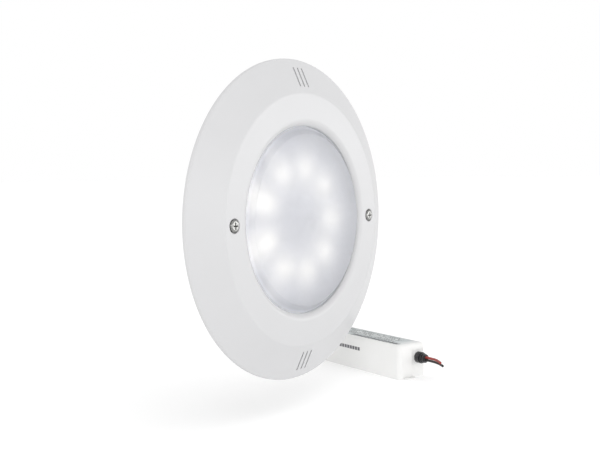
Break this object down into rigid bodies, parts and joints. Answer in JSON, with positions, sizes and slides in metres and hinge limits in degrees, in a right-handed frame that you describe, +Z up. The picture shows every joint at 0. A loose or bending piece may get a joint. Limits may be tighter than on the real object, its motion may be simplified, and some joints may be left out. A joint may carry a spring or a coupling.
{
  "type": "underwater pool light",
  "caption": "Round white underwater LED pool light with a stepped face ring, frosted domed lens, captive face screws, rear cable gland and a separate slim white driver.",
  "frame": {"origin": "centre of the wall screw circle, on the wall plane behind the mounting ring", "axes": "+Z up, the lamp looks along -Y, +Y goes into the wall, +X is to the right seen from the front"},
  "size_m": [0.3625, 0.1874, 0.3003],
  "materials": {
    "white_abs": "moulded, satin",
    "grey_abs": "moulded, satin",
    "charcoal_abs": "moulded, satin",
    "brass": "machined",
    "stainless": "bright, passivated",
    "nylon": "natural",
    "frosted_polycarbonate": "frosted inside, smooth outside",
    "silicone": "matt",
    "aluminium": "milled",
    "board_white": "solder mask",
    "led_phosphor": "clear dome over phosphor, lit",
    "reflector_white": "diffuse white",
    "board_green": "solder mask",
    "black_epoxy": "moulded",
    "capacitor_sleeve": "shrink sleeve",
    "copper_winding": "enamelled wire on a core",
    "potting": "poured resin",
    "black_nylon": "moulded",
    "rubber": "matt",
    "driver_white": "fine spark texture",
    "label_grey": "printed foil",
    "red_insulation": "PVC",
    "black_insulation": "PVC"
  },
  "bodies": {
    "wall_mount": {"mounting_ring": "charcoal_abs", "threaded_inserts": "brass"},
    "lamp_unit": {"lens_dome": "frosted_polycarbonate", "lens_gasket": "silicone", "clamp_ring": "grey_abs", "clamp_screws": "stainless", "rear_housing": "charcoal_abs", "heat_spreader": "aluminium", "led_board": "board_white", "leds": "led_phosphor", "reflector_plate": "reflector_white", "spreader_screws": "stainless", "circuit_board": "board_green", "board_screws": "stainless", "rectifier": "black_epoxy", "lamp_capacitors": "capacitor_sleeve", "lamp_choke": "copper_winding", "board_connector": "black_epoxy", "potting_resin": "potting", "gland_body": "black_nylon", "gland_washer": "silicone", "gland_locknut": "black_nylon", "gland_seal": "rubber", "gland_nut": "black_nylon"},
    "face_ring": {"face_ring": "white_abs"},
    "ring_screw_left": {"ring_screw_left": "stainless", "screw_retainer_left": "nylon"},
    "ring_screw_right": {"ring_screw_right": "stainless", "screw_retainer_right": "nylon"},
    "driver": {"driver_case": "driver_white", "driver_base": "driver_white", "driver_label": "label_grey", "driver_board": "board_green", "driver_transformer": "black_epoxy", "driver_capacitors": "capacitor_sleeve", "driver_choke": "copper_winding", "driver_heatsink": "aluminium", "output_bushing": "black_nylon", "input_bushing": "black_nylon", "red_lead": "red_insulation", "black_lead": "black_insulation"}
  },
  "joints": [
    {"name": "lamp_pull", "type": "slide", "parent": "wall_mount", "child": "lamp_unit", "axis": [0, -1, 0], "range_m": [0, 0.08]},
    {"name": "ring_pull", "type": "slide", "parent": "lamp_unit", "child": "face_ring", "axis": [0, -1, 0], "range_m": [0, 0.06]},
    {"name": "screw_left_turn", "type": "hinge", "parent": "face_ring", "child": "ring_screw_left", "pos_m": [-0.0951, 0, 0], "axis": [0, -1, 0], "continuous": true},
    {"name": "screw_right_turn", "type": "hinge", "parent": "face_ring", "child": "ring_screw_right", "pos_m": [0.0951, 0, 0], "axis": [0, -1, 0], "continuous": true},
    {"name": "driver_slide", "type": "slide", "parent": "wall_mount", "child": "driver", "axis": [0.3107, 0.9505, 0], "range_m": [-0.03, 0.05]}
  ]
}
